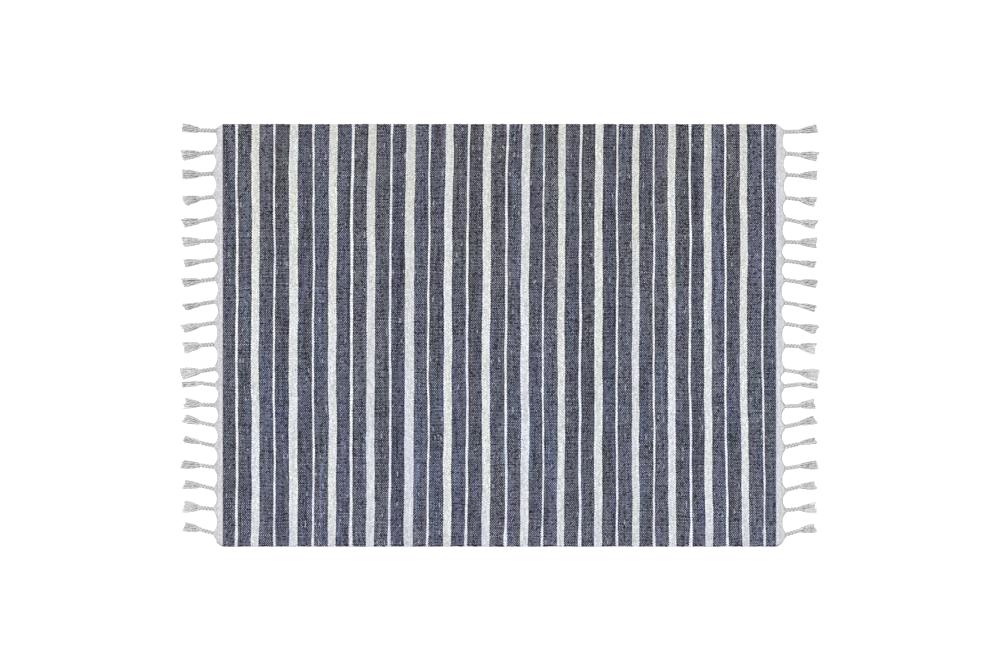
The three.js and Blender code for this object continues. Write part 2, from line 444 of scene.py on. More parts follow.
def warp_line_tone(g, weave, reed):
    """Each warp end lies tighter or looser from place to place, which shades its whole line."""
    def line_noise(along, seed):
        return g.noise(g.join(weave.end * 5.3, weave.pick * along, seed))

    tension = line_noise(0.025, 11.0) * 0.7 + line_noise(0.0, 17.0) * 0.3
    tone = g.ramp(tension, 0.35, 0.65, 0.82, 1.18, smooth=False)
    tone *= g.ramp(line_noise(0.0, 19.0), 0.35, 0.65, 0.83, 1.17, smooth=False)
    return tone * (reed * 0.27 + 1.0)


def dark_tone(g, weave, stripes):
    """How light the dark weft is, by its lot, its line, the warp end and the stitch."""
    # the reed sets the warp in uneven groups, three darker lines to every eight ends
    shift = g.noise(g.join(weave.pick * 0.016, weave.warp * 0.016, 27.0))
    reed = g.math("SINE", (weave.end * (3 / 8) + shift * 3.0) * math.tau)
    tone = g.ramp(weave.streaks(7.0, 0.02, 3.0, 0.6), 0.33, 0.67, 0.42, 1.64, smooth=False)
    tone *= g.spread(stripes.lot, 0.15)
    tone *= g.spread(g.chance(weave.thread, 9.0, 9.0), 0.22)
    tone *= warp_line_tone(g, weave, reed)
    # painted shade: sunk stitches are darker, and there are more of them on the darker lines
    tone *= g.ramp(reed * 0.06 + stripes.lift, 0.05, 0.28, 0.20, 1.27)
    tone *= g.ramp(stripes.from_change, *CHANGE_REACH, 0.74, 1.02)
    tone *= g.ramp(weave.warp, 0.0, NEAR_REACH, 1.12, 1.0)
    # the palest places stay near the rest
    return g.math("MINIMUM", tone, tone * 1.4 / (tone * 0.4 + 1.0))


def dark_weft(g, weave, stripes):
    """Weft spun from mixed blue, grey and black fibre, with the pale warp between its grains."""
    # each dyed lot and each line of it differs
    blueness = g.ramp(g.chance(stripes.first, 6.0, 6.0) * 0.12 + (weave.drifts(1.0) - 0.06), 0.41, 0.62)
    weft = g.mix(blueness, CHARCOAL, SLATE)
    weft = g.mix(g.ramp(weave.patches(4.0, 0.17, 0.006), 0.64, 0.72), weft, FADED)
    weft = g.scale(weft, g.spread(weave.stitch, 0.6))
    # the warp shows more clearly in some places than in others
    shows = g.ramp(weave.patches(51.0, 0.09, 0.05), 0.34, 0.62, 0.78, 0.95)
    shows *= g.ramp(weave.dot_number, 0.0, 1.0, 0.34, 0.98, smooth=False)
    # the warp's dot carries painted shade, as it lies low between the grains
    colour = g.mix(weave.dot(0.45, 0.78) * shows, weft, g.mix(blueness, WARP_BY_CHARCOAL, WARP_BY_SLATE))
    colour = g.scale(colour, dark_tone(g, weave, stripes))
    cast = g.mix(g.ramp(weave.patches(44.0, 0.22, 0.02), 0.36, 0.64), MAUVE_CAST, TEAL_CAST)
    colour = g.tint(colour, cast)
    cast = g.mix(g.ramp(weave.warp, 0.0, DARK_MIDDLE, smooth=False), DARK_NEAR_CAST, DARK_MIDDLE_CAST)
    cast = g.mix(g.ramp(weave.warp, DARK_MIDDLE, WARP_ENDS, smooth=False), cast, DARK_FAR_CAST)
    return g.tint(colour, cast)


def dark_selvedges(g, weave, stripes, colour):
    """At the near selvedge a pale end shows in some dark stripes, and beyond it some of the weft's turns are
    packed and dark. At the far one such turns lie in from the edge."""
    pale_end = g.ramp(stripes.near, 1.3, 1.5) * g.ramp(stripes.near, 2.4, 2.2)
    pale_end *= g.ramp(g.chance(stripes.first, 12.0, 5.0), 0.35, 0.6, 0.0, 0.1)
    pale_end *= g.ramp(g.chance(weave.thread, 12.0, 6.0), 0.2, 0.5, 0.3, 1.0)
    colour = g.mix(pale_end, colour, PALE_END)

    def packed(seed, low, high):
        often = g.noise(g.join(weave.thread * 0.4, seed, 0.0))
        seldom = g.noise(g.join(weave.thread * 0.07, seed, 9.0))
        return g.ramp(often * 0.6 + seldom * 0.4, low, high, 0.0, 0.95)

    near_line = g.ramp(stripes.near, 1.35, 1.15) * packed(61.0, 0.51, 0.545)
    far_line = g.ramp(stripes.far, 0.7, 0.9) * g.ramp(stripes.far, 1.9, 1.7) * packed(62.0, 0.525, 0.56)
    return g.mix(g.math("MAXIMUM", near_line, far_line), colour, NAVY)


def white_tone(g, weave, stripes):
    """How light the white weft is, by its line, its lot, the stitch and the place between the selvedges."""
    tone = g.ramp(weave.streaks(37.0, 0.02, 3.0, 0.6), 0.28, 0.72, 0.84, 1.12, smooth=False)
    tone *= g.spread(g.chance(weave.thread, 39.0, 9.0), 0.03)
    tone *= g.spread(weave.stitch, 0.22)
    tone *= g.spread(stripes.lot, 0.03)
    tone *= g.ramp(weave.warp, 0.6 * WARP_ENDS, 1.1 * WARP_ENDS, 1.022, 0.935)
    tone *= g.ramp(weave.warp, 0.0, NEAR_REACH, 0.95, 1.0)
    tone *= g.ramp(stripes.near, 0.0, 2.5, 0.97, 1.0)
    tone *= g.ramp(stripes.far, 0.5, 2.2, 0.95, 1.0)
    # painted shade in sunk stitches
    tone *= g.ramp(stripes.lift, 0.0, 0.12, 0.66, 1.02)
    # beside a change of colour it is brighter, but for narrow stripes, which are bright all over
    beside = g.ramp(stripes.from_change, *CHANGE_REACH, 1.13, 0.998)
    return tone * (stripes.clean * (1.0 - beside) + beside)


def white_weft(g, weave, stripes):
    """White weft, warmer or cooler in turns, with few specks of the warp, drawn darker with painted shade
    where it lies low.
    """
    colour = g.mix(g.ramp(weave.drifts(31.0), 0.42, 0.58), WHITE_WARM, WHITE_LILAC)
    colour = g.mix(g.ramp(weave.drifts(34.0), 0.50, 0.60, 0.0, 0.5), colour, WHITE_GREENISH)
    colour = g.mix(stripes.clean, colour, WHITE_CLEAN)
    colour = g.scale(colour, white_tone(g, weave, stripes))
    speck = g.ramp(weave.dot_number, 0.86, 0.99, 0.08, 1.0)
    return g.mix(weave.dot(0.48, 0.70) * speck, colour, WARP_BY_WHITE)


def striped_material():
    """The striped cloth."""
    g = Graph("striped_weave")
    weave = Weave(g)
    stripes = Stripes(g, weave)
    dark = dark_selvedges(g, weave, stripes, dark_weft(g, weave, stripes))
    # a few stray pale lengths lie on top
    dark = g.mix(g.ramp(weave.streaks(21.0, 0.13, 0.0, 0.5), 0.775, 0.795), dark, STRAY)
    colour = g.mix(stripes.dark, white_weft(g, weave, stripes), dark)
    cast = g.mix(weave.warp / WARP_ENDS, NEAR_CAST, FAR_CAST)
    return cotton(g, g.tint(colour, cast), ply_bump(g, weave))


def band_material():
    """The plain weave of the two ends. The third weave number rises to 1 at its cut edge."""
    g = Graph("plain_band")
    weave = Weave(g)
    hue = weave.drifts(61.0) - weave.pick * 0.073
    colour = g.mix(g.ramp(hue, -0.08, 0.59, smooth=False), BAND_WARM, BAND_LILAC)
    tone = g.ramp(weave.streaks(67.0, 0.02, 3.0, 0.6), 0.28, 0.72, 0.86, 1.14, smooth=False)
    tone *= g.ramp(weave.pick, 0.5, 5.0, 0.982, 0.94)
    colour = g.scale(colour, tone * g.spread(weave.stitch, 0.20))
    # specks of the warp, drawn darker with painted shade where it lies low
    speck = g.ramp(weave.dot_number, 0.72, 0.99, 0.06, 0.75)
    colour = g.mix(weave.dot(0.5, 0.7) * speck, colour, WARP_IN_BAND)
    # the cord that binds the scallops is dark in places
    cord = g.ramp(weave.rim, 0.35, 0.75) * g.ramp(weave.stitch, 0.1, 0.5, 0.4, 1.0)
    cord *= g.ramp(weave.patches(71.0, 0.05, 0.10), 0.42, 0.52, 0.1, 0.95)
    return cotton(g, g.mix(cord, colour, BAND_CORD), ply_bump(g, weave))


def yarn_material():
    """Undyed warp yarn: along runs down it in millimetres, around goes once round it."""
    g = Graph("undyed_yarn")
    along, around, number = g.attribute("yarn")
    shade, _, _ = g.attribute("shade")
    colour = g.mix(g.chance(number, 0.0, 0.0), YARN_DULL, YARN_BRIGHT)
    patch = g.noise(g.join(along * 0.08, number, 0.0), 2.0)
    colour = g.mix(g.ramp(patch, 0.42, 0.68, 0.0, 0.4), colour, YARN_GREY)
    # each ply is a ridge, with a furrow beside it that is bumped and darkened with painted shade
    ridge = g.math("ABSOLUTE", g.math("SINE", (along * (1 / 5.5) + around * 2.0) * math.pi))
    colour = g.mix(g.ramp(ridge, 0.45, 0.0, 0.0, 0.5), colour, YARN_FURROW_SHADE)
    # painted shade: yarn that lies under the yarn around it is darkened in its colour
    colour = g.mix(shade * 0.62, colour, YARN_PAINTED_SHADE)
    fibres = g.noise(g.join(along * 0.9, around * 9.0, number), 3.0)
    return cotton(g, colour, g.bump(ridge + fibres, 0.35 * MM, 0.8))


# The striped cloth.
def uneven(count, spread, seed):
    """Cumulative widths of a count of lines that are nearly one wide, which add up to the count."""
    widths = np.random.default_rng(seed).normal(1, spread, count).clip(0.6, 1.4)
    return np.concatenate([[0], np.cumsum(widths)]) * count / widths.sum()


WARP_LINES = uneven(WARP_ENDS, UNEVEN_WARP, 3) * WARP_PITCH - HALF_WIDTH


def warp_y(warp):
    """The y of a place counted in warp ends from the near selvedge."""
    return np.interp(warp, np.arange(WARP_ENDS + 1), WARP_LINES)


def stripe_layout():
    """Every stripe's kind, its picks and edges, whether the white at its two edges is of the clean kind, and
    how far the edges run to the right at the selvedges."""
    flat = [(kind, row[kind]) for row in STRIPES for kind in KINDS if row[kind]]
    picks = [0]
    edges = [-HALF_LENGTH]
    for _, width in flat:
        picks.append(picks[-1] + max(2, round(width / PICK)))
        edges.append(edges[-1] + width)
    names = [kind for kind, _ in flat]
    around = ["wide", *names, "wide"]
    clean = []
    for k, kind in enumerate(names):
        beside = (around[k], around[k + 2]) if "dark" in kind else (kind, kind)
        clean.append([float(name == "narrow") for name in beside])
    return {
        "names": names,
        "picks": np.array(picks),
        "edges": np.array(edges),
        "clean": np.array(clean),
        "far": edge_shifts("far_shift"),
        "near": edge_shifts("near_shift"),
    }


def edge_shifts(column):
    """How far each row of stripes runs to the right at a selvedge. The cloth's own two ends stay straight."""
    lengths = np.array([sum(row[kind] for kind in KINDS) for row in STRIPES])
    middles = np.cumsum(lengths) - lengths / 2 - HALF_LENGTH
    return [-HALF_LENGTH, *middles, HALF_LENGTH], [0, *(row[column] for row in STRIPES), 0]


LAYOUT = stripe_layout()
TOTAL_PICKS = int(LAYOUT["picks"][-1])
PICK_LINES = np.concatenate([
    a + uneven(b - a, UNEVEN_PICKS, 40 + k)[:-1]
    for k, (a, b) in enumerate(zip(LAYOUT["picks"], LAYOUT["picks"][1:]))
] + [[TOTAL_PICKS]])


def waves(y, sizes, own):
    """A wandering line along y, made of waves of these heights and lengths."""
    line = 0
    for height, length in sizes:
        length *= own.uniform(0.85, 1.15)
        line = line + height * np.sin(y * math.tau / length + own.uniform(0, math.tau))
    return line


def edges_at(y):
    """The x of every stripe edge along each of these lines across the cloth."""
    y = np.asarray(y, float)
    flat = LAYOUT["edges"]
    far, near = [np.interp(flat, *LAYOUT[side]) for side in ("far", "near")]
    share = (np.abs(y) / HALF_WIDTH) ** SHIFT_POWER
    x = flat + np.where(y[:, None] > 0, far, near) * share[:, None]
    own = np.random.default_rng(7)
    x[:, 1:-1] += waves(y, WANDER_TOGETHER, own)[:, None]
    from_far, from_near = HALF_WIDTH - y, HALF_WIDTH + y
    for k, name in enumerate(LAYOUT["names"]):
        if "dark" in name:
            continue
        centre = waves(y, WANDER, own)
        wider = waves(y, WIDTH_WAVES, own) / 2 - WHITE_TRIM[name]
        if name == "narrow":
            for side, from_edge in (("far", from_far), ("near", from_near)):
                most, *span = NARROW_SPREAD[side]
                wider += own.uniform(0.5, 1.5) / 2 * most * (1 - smoothstep(from_edge, *span))
            most, length = NARROW_TAPER
            wider -= most / 2 * np.exp(-from_far / length)
        else:
            most, length = WIDE_CLOSE
            wider -= most / 2 * (np.exp(-from_far / length) + np.exp(-from_near / length))
        x[:, k] += centre - wider
        x[:, k + 1] += centre + wider
    return x


def place_picks(picks, y):
    """The x of each pick coordinate along each line across the cloth, as rows of y by columns of picks."""
    uneven_picks = np.interp(picks, np.arange(TOTAL_PICKS + 1), PICK_LINES)
    return np.array([np.interp(uneven_picks, LAYOUT["picks"], line) for line in edges_at(y)])


def grid_faces(columns, rows):
    """Quads over a grid of points stored row by row."""
    a = np.arange(columns - 1)[None, :] + columns * np.arange(rows - 1)[:, None]
    return np.stack([a, a + 1, a + 1 + columns, a + columns], -1).reshape(-1, 4)


def weave_height(pick, warp, unevenness):
    """The height of the upper face at crossings of the weave: high where the weft is on top."""
    weft_up = (np.floor(pick).astype(int) + np.floor(warp).astype(int)) % 2 == 0
    return np.where(weft_up, 0, -GRAIN_RISE) - GRAIN_UNEVEN * unevenness


def cloth_top(picks, warps, own):
    """The upper face of the striped cloth as a grid of points, with a row for each warp place."""
    y = warp_y(warps)
    x = place_picks(picks, y)
    rows, columns = x.shape
    inner = np.zeros((rows, columns))
    inner[2:-2, 1:-1] = 1
    x = x + own.uniform(-JITTER, JITTER, x.shape) * inner
    y = y[:, None] + own.uniform(-JITTER, JITTER, x.shape) * inner
    slow = COCKLE * (0.5 + 0.5 * np.sin(x / 61 + 1.7 * np.sin(y / 173)) * np.cos(y / 97 + x / 300))
    z = THICKNESS - slow + weave_height(picks[None, :], warps[:, None], own.random(x.shape)) * inner
    z[:, [0, -1]] = THICKNESS - slow[:, [0, -1]] - GRAIN_RISE / 2
    # the selvedges are rounded, and each turn of the weft, of two picks, stands out more or less
    for edge_row, shoulder_row, side in ((0, 1, -1), (-1, -2, 1)):
        loop = own.normal(0.1, SELVEDGE_LOOP, columns // 2 + 1).clip(-1, 1).repeat(2)[:columns]
        y[edge_row] = side * (HALF_WIDTH + loop)
        y[shoulder_row] = side * (HALF_WIDTH - SHOULDER_IN + loop)
        z[edge_row] = THICKNESS * EDGE_HEIGHT
        z[shoulder_row] = THICKNESS * SHOULDER_HEIGHT
    return np.stack([x, y, z], -1)


def sheet_faces(top, under, stops):
    """The faces of a closed sheet, from the numbers of its points. Each stop is a row of the upper face at
    which its two cut sides are divided, as there are fewer rows below."""
    rows, columns = top.shape
    ring = np.concatenate([top[:1], under, top[-1:]])
    quads = np.stack([ring[:-1, :-1], ring[1:, :-1], ring[1:, 1:], ring[:-1, 1:]], -1).reshape(-1, 4)
    faces = [np.concatenate([grid_faces(columns, rows), quads])]
    for column in (0, -1):
        for k, (start, stop) in enumerate(zip(stops, stops[1:])):
            face = [*top[start:stop + 1, column], under[k + 1, column], under[k, column]]
            faces.append(np.array([face[::-1] if column else face]))
    return faces


def cloth_piece(name, first_pick, last_pick, material):
    """The striped cloth from one pick to another, as a closed sheet with one point for each crossing."""
    picks = np.concatenate([[first_pick], np.arange(first_pick, last_pick) + 0.5, [last_pick]])
    near_edge, far_edge = [0, SHOULDER_WARP], [WARP_ENDS - SHOULDER_WARP, WARP_ENDS]
    warps = np.concatenate([near_edge, np.arange(WARP_ENDS) + 0.5, far_edge])
    top = cloth_top(picks, warps, np.random.default_rng(first_pick + 1))
    weave = np.stack(np.broadcast_arrays(picks[None, :], warps[:, None], 0.0), -1)
    rows, columns = top.shape[:2]

    # the underside is flat and coarser, and its outermost rows lie below the shoulders
    inner_rows = np.unique(np.linspace(2, rows - 3, UNDER_ROWS).round().astype(int))
    under_rows = [1, *inner_rows, rows - 2]
    under = top[under_rows] * (1, 1, 0)
    under[[0, -1], :, 2] = THICKNESS * UNDER_EDGE_HEIGHT
    numbers = np.arange((rows + len(under_rows)) * columns).reshape(-1, columns)
    faces = sheet_faces(numbers[:rows], numbers[rows:], [0, *inner_rows, rows - 1])
    weave = np.concatenate([weave, weave[under_rows]]).reshape(-1, 3)
    piece = new_object(name, np.concatenate([top, under]).reshape(-1, 3), faces, material)
    set_attribute(piece, "weave", "POINT", weave)

    # each face knows the stripe that it lies in
    middles = np.concatenate([weave[face, 0].mean(1) for face in faces])
    which = np.clip(np.searchsorted(LAYOUT["picks"], middles, side="right") - 1, 0, len(LAYOUT["names"]) - 1)
    dark = np.array(["dark" in kind for kind in LAYOUT["names"]], float)
    # the outermost two stripes have no white beside them to mix with
    borders = LAYOUT["picks"].astype(float)
    borders[[0, -1]] += (-9, 9)
    set_attribute(piece, "stripe", "FACE", np.stack([borders[which], borders[which + 1], dark[which]], -1))
    clean = LAYOUT["clean"][which]
    set_attribute(piece, "clean", "FACE", np.concatenate([clean, 0 * clean[:, :1]], 1))
    return piece


# The plain bands and the tassels. A place along an end is given as depth, outwards from the striped cloth,
# and y.
def outwards(side, depth):
    """The x of a depth at the left end, side -1, or at the right one, side 1."""
    return side * (HALF_LENGTH + depth)


def tassel_roots(side):
    """The y of every tassel's root at an end."""
    return [tassel["root"] + END_SHIFT[side] for tassel in TASSELS]


def tongue_reach(k):
    """How deep the band runs at a tassel, from the scallops on its two sides."""
    before = TASSELS[k - 1]["scallop"] if k else CORNER_DEPTH
    return (before + TASSELS[k]["scallop"]) / 2 + TONGUE


class BandMesh:
    """The points and faces of one band, as they are added."""

    def __init__(self, side):
        self.side = side
        self.points, self.weave, self.faces = [], [], []

    def add(self, depth, y, z, pick, warp, rim=0.0):
        """Adds a point and returns its number."""
        self.points.append((outwards(self.side, depth), y, z))
        self.weave.append((pick, warp + (self.side > 0) * OTHER_END, float(rim)))
        return len(self.points) - 1

    def add_row(self, places):
        """Adds a row of points of the upper face and those below them. The two outermost lie on the cut edge
        and serve both. Returns the numbers of the upper and of the lower points."""
        top, under = [], []
        for c, (depth, y, z, pick, warp, rim) in enumerate(places):
            on_side = c in (0, len(places) - 1)
            top.append(self.add(depth, y, THICKNESS * EDGE_HEIGHT if on_side else z, pick, warp, rim))
            under.append(top[-1] if on_side else self.add(depth, y, 0.0, pick, warp))
        return np.array(top), np.array(under)

    def strip(self, lower, upper, turned=False):
        """Adds a row of faces between two rows of points."""
        quads = np.stack([lower[:-1], lower[1:], upper[1:], upper[:-1]], -1)
        self.faces.extend(quads[:, ::-1] if (self.side > 0) != turned else quads)

    def close(self, corners, turned=False):
        """Adds a triangle, as a face that has its last point twice."""
        face = [*corners, corners[-1]]
        self.faces.append(np.array(face[::-1] if (self.side > 0) != turned else face))

    def build(self, name, material):
        quads = np.array(self.faces)
        distinct = [len(set(quad)) for quad in quads]
        four = quads[np.array(distinct) == 4]
        three = [list(dict.fromkeys(quad)) for quad, count in zip(quads, distinct) if count == 3]
        piece = new_object(name, np.array(self.points), [four, np.array(three).reshape(-1, 3)], material)
        set_attribute(piece, "weave", "POINT", self.weave)
        return piece


def near_rim(distance):
    """1 on the band's cut edge, and 0 where its cord no longer shows."""
    return max(0.0, 1 - abs(distance) / RIM)


def drawn_in(share, y):
    """Where a place of a straight row lies, as the row's ends are drawn in at the two corners."""
    side = 1 if y > 0 else -1
    most, start, reach = DRAWN_IN[side]
    drawn = most * max(0.0, (share - start) / (1 - start)) ** 1.1
    place, end = side * y, HALF_WIDTH - drawn
    crowded = end - reach
    if drawn and place > crowded:
        place = crowded + (place - crowded) * reach / (reach + drawn)
    return side * min(place, end)


def straight_rows(mesh, warps, parted, scallops, own):
    """The rows that run straight, from the striped cloth to the scallops, on both faces. Returns the numbers
    of the last row's points."""
    ys = warp_y(warps)
    for r, share in enumerate(np.linspace(0, 1, STRAIGHT_ROWS + 1)):
        row = []
        far_end, near_end = drawn_in(share, HALF_WIDTH), drawn_in(share, -HALF_WIDTH)
        for warp, y, scallop in zip(warps, ys, scallops):
            depth = lerp(SEAM, scallop, share)
            pick = depth / PICK
            drawn = drawn_in(share, y)
            rim = near_rim(min(drawn - near_end, far_end - drawn))
            if r == STRAIGHT_ROWS:
                rim = max(rim, near_rim(np.abs(warp_y(parted) - y).min()))
            woven = r and 0 < warp < WARP_ENDS
            z = BAND_TOP + (weave_height(pick, warp, own.random()) if woven else 0)
            row.append((depth, drawn, z, pick, warp, rim))
        top, under = mesh.add_row(row)
        if r:
            mesh.strip(last_top, top)
            mesh.strip(last_under, under, turned=True)
        else:
            mesh.strip(under, top)
        last_top, last_under = top, under
    return last_top, last_under


def gathered_rows(mesh, k, root, warps, scallops, last_top, last_under, own):
    """The rows that one tassel gathers into its tongue, on from its share of the last straight row."""
    start = np.array([mesh.points[number][1] for number in last_top])
    full = np.where(start >= root, max(start.max() - root, 1.0), max(root - start.min(), 1.0))
    tip = tongue_reach(k)
    for s in np.arange(1, GATHER_ROWS + 1) / GATHER_ROWS:
        aside = (start - root) * (1 - s * (1 - np.minimum(1.0, NECK_HALF_WIDTH / full)))
        round_top = np.sqrt(np.maximum(0.0, 1 - (aside / (NECK_HALF_WIDTH + (1 - s) * full)) ** 2))
        rise = NECK_RISE * smoothstep(s, 0.2, 1.0) * round_top
        row = []
        for c, (warp, scallop) in enumerate(zip(warps, scallops)):
            depth = lerp(scallop, tip, s ** 2)
            pick = lerp(scallop, tip, s) / PICK
            z = BAND_TOP + weave_height(pick, warp, own.random()) * (1 - 0.5 * s) + rise[c]
            if c in (1, len(warps) - 2):
                z = THICKNESS * BAND_SHOULDER_HEIGHT
            rim = max(near_rim(aside[-1] - aside[c]), 0.6 * near_rim(aside[c] - aside[0]))
            row.append((depth, root + aside[c], z, pick, warp, rim))
        top, under = mesh.add_row(row)
        mesh.strip(last_top, top)
        mesh.strip(last_under, under, turned=True)
        # where two tassels part, the upper and lower face close on the first point of the cut edge
        for c in (0, -1):
            if last_top[c] != last_under[c]:
                mesh.close([last_top[c], top[c], last_under[c]], turned=bool(c))
        last_top, last_under = top, under
    mesh.strip(last_top, last_under)


def band_piece(name, side, material):
    """The plain band as a closed sheet. Its rows run straight, and then each tassel gathers its own."""
    mesh = BandMesh(side)
    roots = tassel_roots(side)
    partings = [(a + b) / 2 for a, b in zip(roots, roots[1:])]
    shares = [HALF_WIDTH, *partings, -HALF_WIDTH]
    own = np.random.default_rng(100 + side)
    parted = np.interp(partings[::-1], WARP_LINES, np.arange(WARP_ENDS + 1))
    warps = np.unique(np.concatenate([[0, WARP_ENDS], np.arange(WARP_ENDS) + 0.5, parted]))
    ys = warp_y(warps)
    scallops = np.interp(-ys, -np.array(shares[1:]), [tassel["scallop"] for tassel in TASSELS])
    top, under = straight_rows(mesh, warps, parted, scallops, own)
    for k, root in enumerate(roots):
        mine = (ys <= shares[k] + 1e-3) & (ys >= shares[k + 1] - 1e-3)
        gathered_rows(mesh, k, root, warps[mine], scallops[mine], top[mine], under[mine], own)
    return mesh.build(name, material)


def strand_at(depth, number, handed, phase):
    """How far one of a plait's three strands swings aside and rises, and its angle round the plait."""
    angle = math.tau * (depth - BRAID_FROM) / BRAID_PERIOD * handed + phase + math.tau * number / 3
    return BRAID_SWING * np.sin(angle), BRAID_RISE * np.sin(2 * angle), angle


def strand_places(handed, phase, own):
    """The strand that each yarn lies in and its place round the strand's middle, in order of root."""
    order = sorted(range(3), key=lambda number: strand_at(BRAID_FROM, number, handed, phase)[0])
    placed = []
    for number, count in zip(order, STRAND_YARNS):
        for slot in range(count):
            around = math.tau * slot / (count - 1) + own.uniform(-0.3, 0.3)
            out = 0 if slot == count - 1 else STRAND_ACROSS
            placed.append((number, out * math.cos(around), out * math.sin(around)))
    return placed


def tassel_yarns(side, k, root, own):
    """The centre line and radius of every yarn of one tassel, as arrays of points by yarn."""
    tassel = TASSELS[k]
    tongue = tongue_reach(k)
    slant = (tassel["plait_lean"] + tassel["end_lean"]) / (LOOSE_FROM + LOOSE_LENGTH - tongue)
    fan = tassel["fan"]
    handed = own.choice((-1, 1))
    phase = own.uniform(0, math.tau)
    bloom = own.uniform(0.85, 1.15)

    def centre(depth):
        plaited = np.clip((depth - PLAIT_FROM) / (PLAIT_TO - PLAIT_FROM), 0, 1)
        loose = np.clip((depth - LOOSE_FROM) / LOOSE_LENGTH, 0, 1.2)
        return root + tassel["plait_lean"] * plaited + tassel["end_lean"] * loose

    placed = strand_places(handed, phase, own)
    lateral = [strand_at(PLAIT_TO - 2, number, handed, phase)[0] + across for number, across, _ in placed]
    ranks = np.argsort(np.argsort(np.array(lateral) + own.normal(0, 0.9, YARNS)))
    # the loose yarns lie in layers, in clumps of uneven height
    layers = np.clip(np.arange(YARNS) % 2 + own.integers(-1, 2, YARNS) * 0.6, 0, 1.6)
    yarns = []
    for j, ((number, across, up), rank) in enumerate(zip(placed, ranks)):
        place = 2 * rank / (YARNS - 1) - 1 + own.normal(0, 0.07)
        length = LOOSE_LENGTH * (1 + CUT_FLARE * place ** 2) - slant * place * fan
        length = min(length + tassel["extra"] + own.normal(0, 1.6), LONGEST_LOOSE)
        start, tip = tongue - YARN_INSIDE, LOOSE_FROM + length
        depth = np.linspace(start, tip, round((tip - start) / YARN_STEP) + 1)
        # in the plait
        entry = (2 * j / (YARNS - 1) - 1) * (NECK_HALF_WIDTH - 1.2)
        swing, rise, angle = strand_at(depth, number, handed, phase)
        turn = 0.25 * angle
        plaited_y = swing + across * np.cos(turn) - up * np.sin(turn)
        plaited_z = PLAIT_MIDDLE + rise + (across * np.sin(turn) + up * np.cos(turn)) * STRAND_FLAT
        gathered = smoothstep(depth, start + 1, tongue + 5)
        y = lerp(entry, plaited_y, gathered)
        z = lerp(2.6 + 0.9 * (j % 2), plaited_z, gathered)
        # in the loose end
        loosened = smoothstep(depth, LOOSE_FROM - 2, LOOSE_FROM + 12)
        opened = np.sin(np.clip((depth - LOOSE_FROM) / LOOSE_LENGTH, 0, 1) * math.pi / 2)
        spread = lerp(LOOSE_ROOT_SPREAD, fan / 2, opened ** bloom)
        wave = own.uniform(0.2, 0.8) * np.sin(depth / own.uniform(5, 9) + own.uniform(0, 6)) * opened
        wave += CRIMP * np.sin(depth * math.tau / own.uniform(*CRIMP_LENGTHS) + own.uniform(0, 6))
        radius = lerp(YARN_PLAITED, YARN_LOOSE, loosened)
        radius[-1] *= 0.85
        crowding = np.clip(YARNS * YARN_LOOSE / spread - 1, 0, 1.3)
        over = layers[rank] + 0.45 * np.sin(depth * math.tau / own.uniform(14, 26) + own.uniform(0, 6))
        loose_z = radius * (1 + 1.7 * np.maximum(over, 0) * crowding)
        y = lerp(y, place * (spread - YARN_LOOSE) + wave, loosened)
        z = np.maximum(lerp(z, loose_z, loosened), radius)
        yarns.append((np.stack([outwards(side, depth), centre(depth) + y, z], -1), radius))
    return yarns


def painted_shade_depth(points):
    """How far each point of a tassel lies under the yarn around it, from 0 on top to 1: the share of painted
    shade in its colour.
    """
    cell = np.floor(points[:, :2] / SHADE_CELL).astype(int)
    cell += 1 - cell.min(0)
    highest = np.zeros(cell.max(0) + 2)
    np.maximum.at(highest, tuple(cell.T), points[:, 2])
    around = np.max([np.roll(highest, (a, b), (0, 1)) for a in (-1, 0, 1) for b in (-1, 0, 1)], 0)
    return smoothstep(around[tuple(cell.T)] - points[:, 2], *PAINTED_SHADE_DEPTHS)


def tube(points, radius):
    """Vertices of a tube round a centre line, ring by ring, then a point at each end."""
    tangent = np.gradient(points, axis=0)
    tangent /= np.linalg.norm(tangent, axis=1)[:, None]
    level = np.cross(tangent, (0, 0, 1.0))
    level /= np.linalg.norm(level, axis=1)[:, None]
    upward = np.cross(level, tangent)
    angle = math.tau * np.arange(YARN_SIDES) / YARN_SIDES
    ring = level[:, None] * np.cos(angle)[:, None] + upward[:, None] * np.sin(angle)[:, None]
    rings = points[:, None] + ring * radius[:, None, None]
    return np.concatenate([rings.reshape(-1, 3), points[:1], points[-1:] + tangent[-1:] * radius[-1] * 0.4])


def tube_faces(rings, start):
    """Quads along the tube and the triangles that close its two ends."""
    k = np.arange(YARN_SIDES)
    after = (k + 1) % YARN_SIDES
    row = start + YARN_SIDES * np.arange(rings - 1)[:, None]
    next_row = row + YARN_SIDES
    quads = np.stack([row + k, next_row + k, next_row + after, row + after], -1).reshape(-1, 4)
    first = start + YARN_SIDES * rings
    tail = first - YARN_SIDES
    near = np.stack([np.full(YARN_SIDES, first), start + k, start + after], -1)
    far = np.stack([np.full(YARN_SIDES, first + 1), tail + after, tail + k], -1)
    return quads, np.concatenate([near, far])


